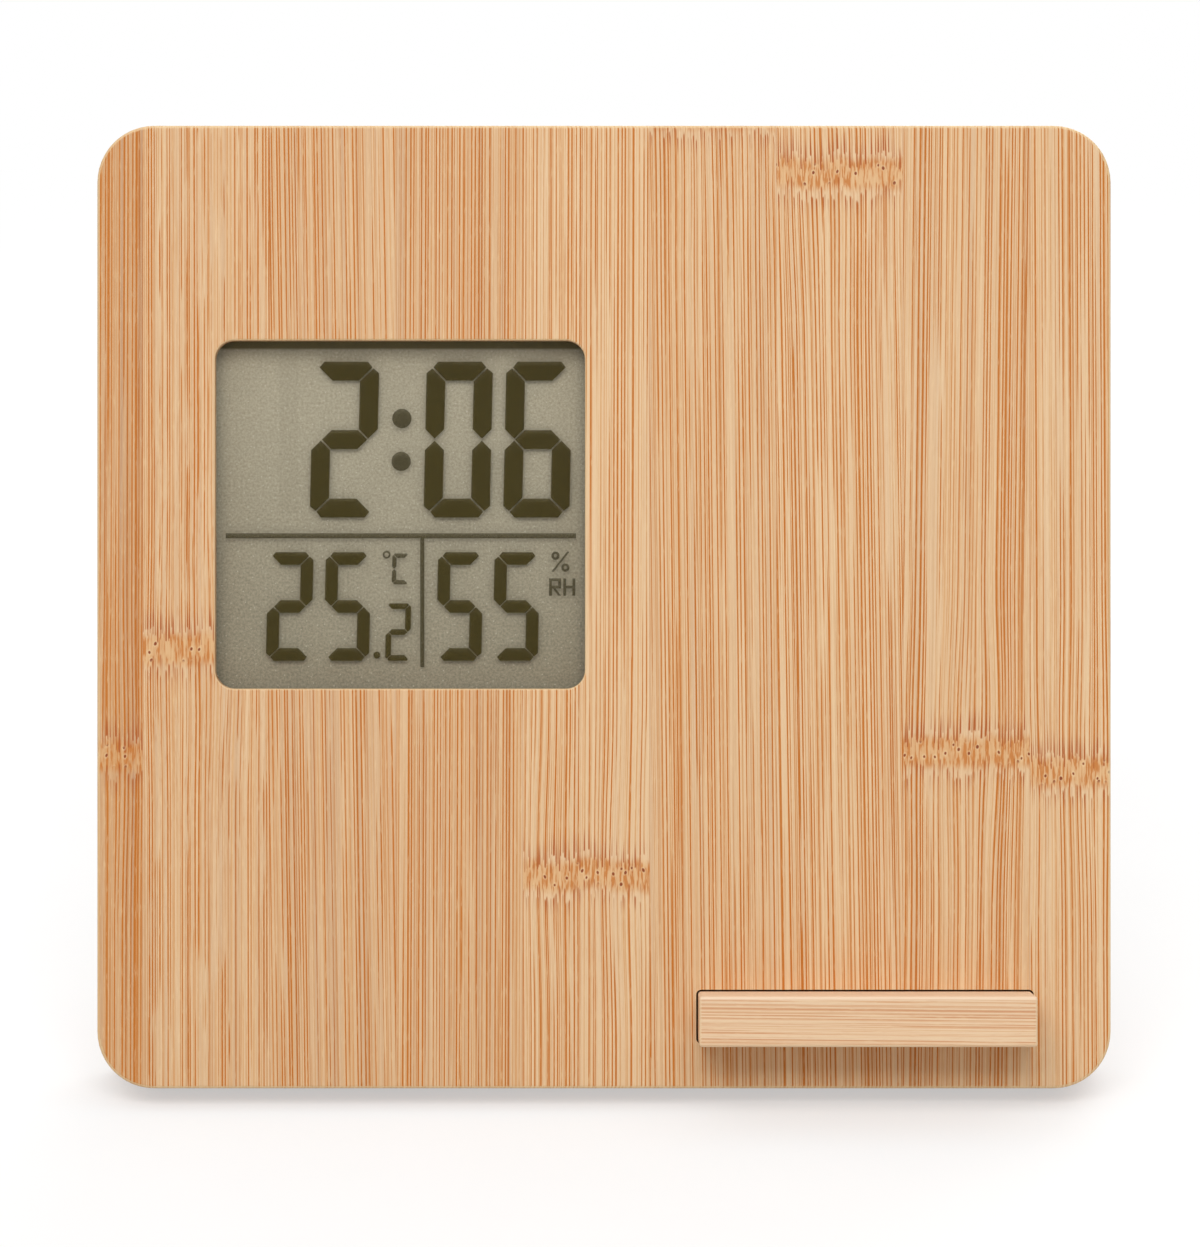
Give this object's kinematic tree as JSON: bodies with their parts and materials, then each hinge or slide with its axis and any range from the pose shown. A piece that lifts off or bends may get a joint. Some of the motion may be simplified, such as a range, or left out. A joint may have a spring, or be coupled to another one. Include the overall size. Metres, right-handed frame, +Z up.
{
  "type": "desk clock",
  "caption": "Leaning bamboo desk clock with a segment display for time, temperature and humidity, a plug-in phone ledge and a fold-out rear stand.",
  "frame": {"origin": "on the desk, under the middle of the clock's box", "axes": "+X to the right along the panel's width, +Y to the rear, +Z up; the face looks to -Y"},
  "size_m": [0.16, 0.0882, 0.1481],
  "materials": {
    "bamboo": "clear matt lacquer over plain-pressed bamboo",
    "display_glass": "clear with an anti-glare front",
    "display_dark": "dark liquid crystal segments",
    "reflector_foil": "grey-green grained reflector foil",
    "black_plastic": "moulded",
    "pad_rubber": "matt",
    "board_green": "solder mask",
    "steel": "zinc plated",
    "black_epoxy": "cast",
    "nickel": "nickel plated",
    "sensor_white": "moulded",
    "cover_plastic": "fine moulded grain",
    "cell_wrap": "printed sleeve, plain",
    "lead_red": "wire insulation",
    "lead_black": "wire insulation",
    "key_grey": "soft moulded caps"
  },
  "bodies": {
    "case": {"bamboo_body": "bamboo", "base_pads": "pad_rubber", "lcd_front_glass": "display_glass", "lcd_segments": "display_dark", "lcd_rear_glass": "display_glass", "lcd_reflector": "reflector_foil", "lcd_frame": "black_plastic", "zebra_strip": "pad_rubber", "main_board": "board_green", "board_screws": "steel", "controller_blob": "black_epoxy", "quartz_crystal": "nickel", "climate_sensor": "sensor_white", "buzzer": "black_plastic", "tact_switches": "black_plastic", "rear_cover": "cover_plastic", "cover_screws": "steel", "battery_left": "cell_wrap", "battery_right": "cell_wrap", "contact_positive": "nickel", "contact_negative": "nickel", "contact_bridge": "nickel", "lead_positive": "lead_red", "lead_negative": "lead_black", "hinge_pin": "steel"},
    "ledge": {"ledge_bar": "bamboo"},
    "stand": {"kickstand": "cover_plastic", "foot_pad": "pad_rubber"},
    "door": {"battery_door": "cover_plastic"},
    "mode_key": {"button_mode": "key_grey"},
    "set_key": {"button_set": "key_grey"},
    "up_key": {"button_up": "key_grey"},
    "down_key": {"button_down": "key_grey"}
  },
  "joints": [
    {"name": "ledge_pull", "type": "slide", "parent": "case", "child": "ledge", "axis": [0, -0.9511, 0.309], "range_m": [0, 0.03]},
    {"name": "stand_fold", "type": "hinge", "parent": "case", "child": "stand", "pos_m": [0, 0.01846, 0.096], "axis": [-1, 0, 0], "range_deg": [0, 33]},
    {"name": "door_swing", "type": "hinge", "parent": "case", "child": "door", "pos_m": [0.0601, 0.00789, 0.07998], "axis": [0, -0.309, -0.9511], "range_deg": [0, 95]},
    {"name": "mode_press", "type": "slide", "parent": "case", "child": "mode_key", "axis": [0, -0.9511, 0.309], "range_m": [0, 0.0006], "stiffness_N_per_m": 200, "springref_m": -0.001},
    {"name": "set_press", "type": "slide", "parent": "case", "child": "set_key", "axis": [0, -0.9511, 0.309], "range_m": [0, 0.0006], "stiffness_N_per_m": 200, "springref_m": -0.001},
    {"name": "up_press", "type": "slide", "parent": "case", "child": "up_key", "axis": [0, -0.9511, 0.309], "range_m": [0, 0.0006], "stiffness_N_per_m": 200, "springref_m": -0.001},
    {"name": "down_press", "type": "slide", "parent": "case", "child": "down_key", "axis": [0, -0.9511, 0.309], "range_m": [0, 0.0006], "stiffness_N_per_m": 200, "springref_m": -0.001}
  ]
}
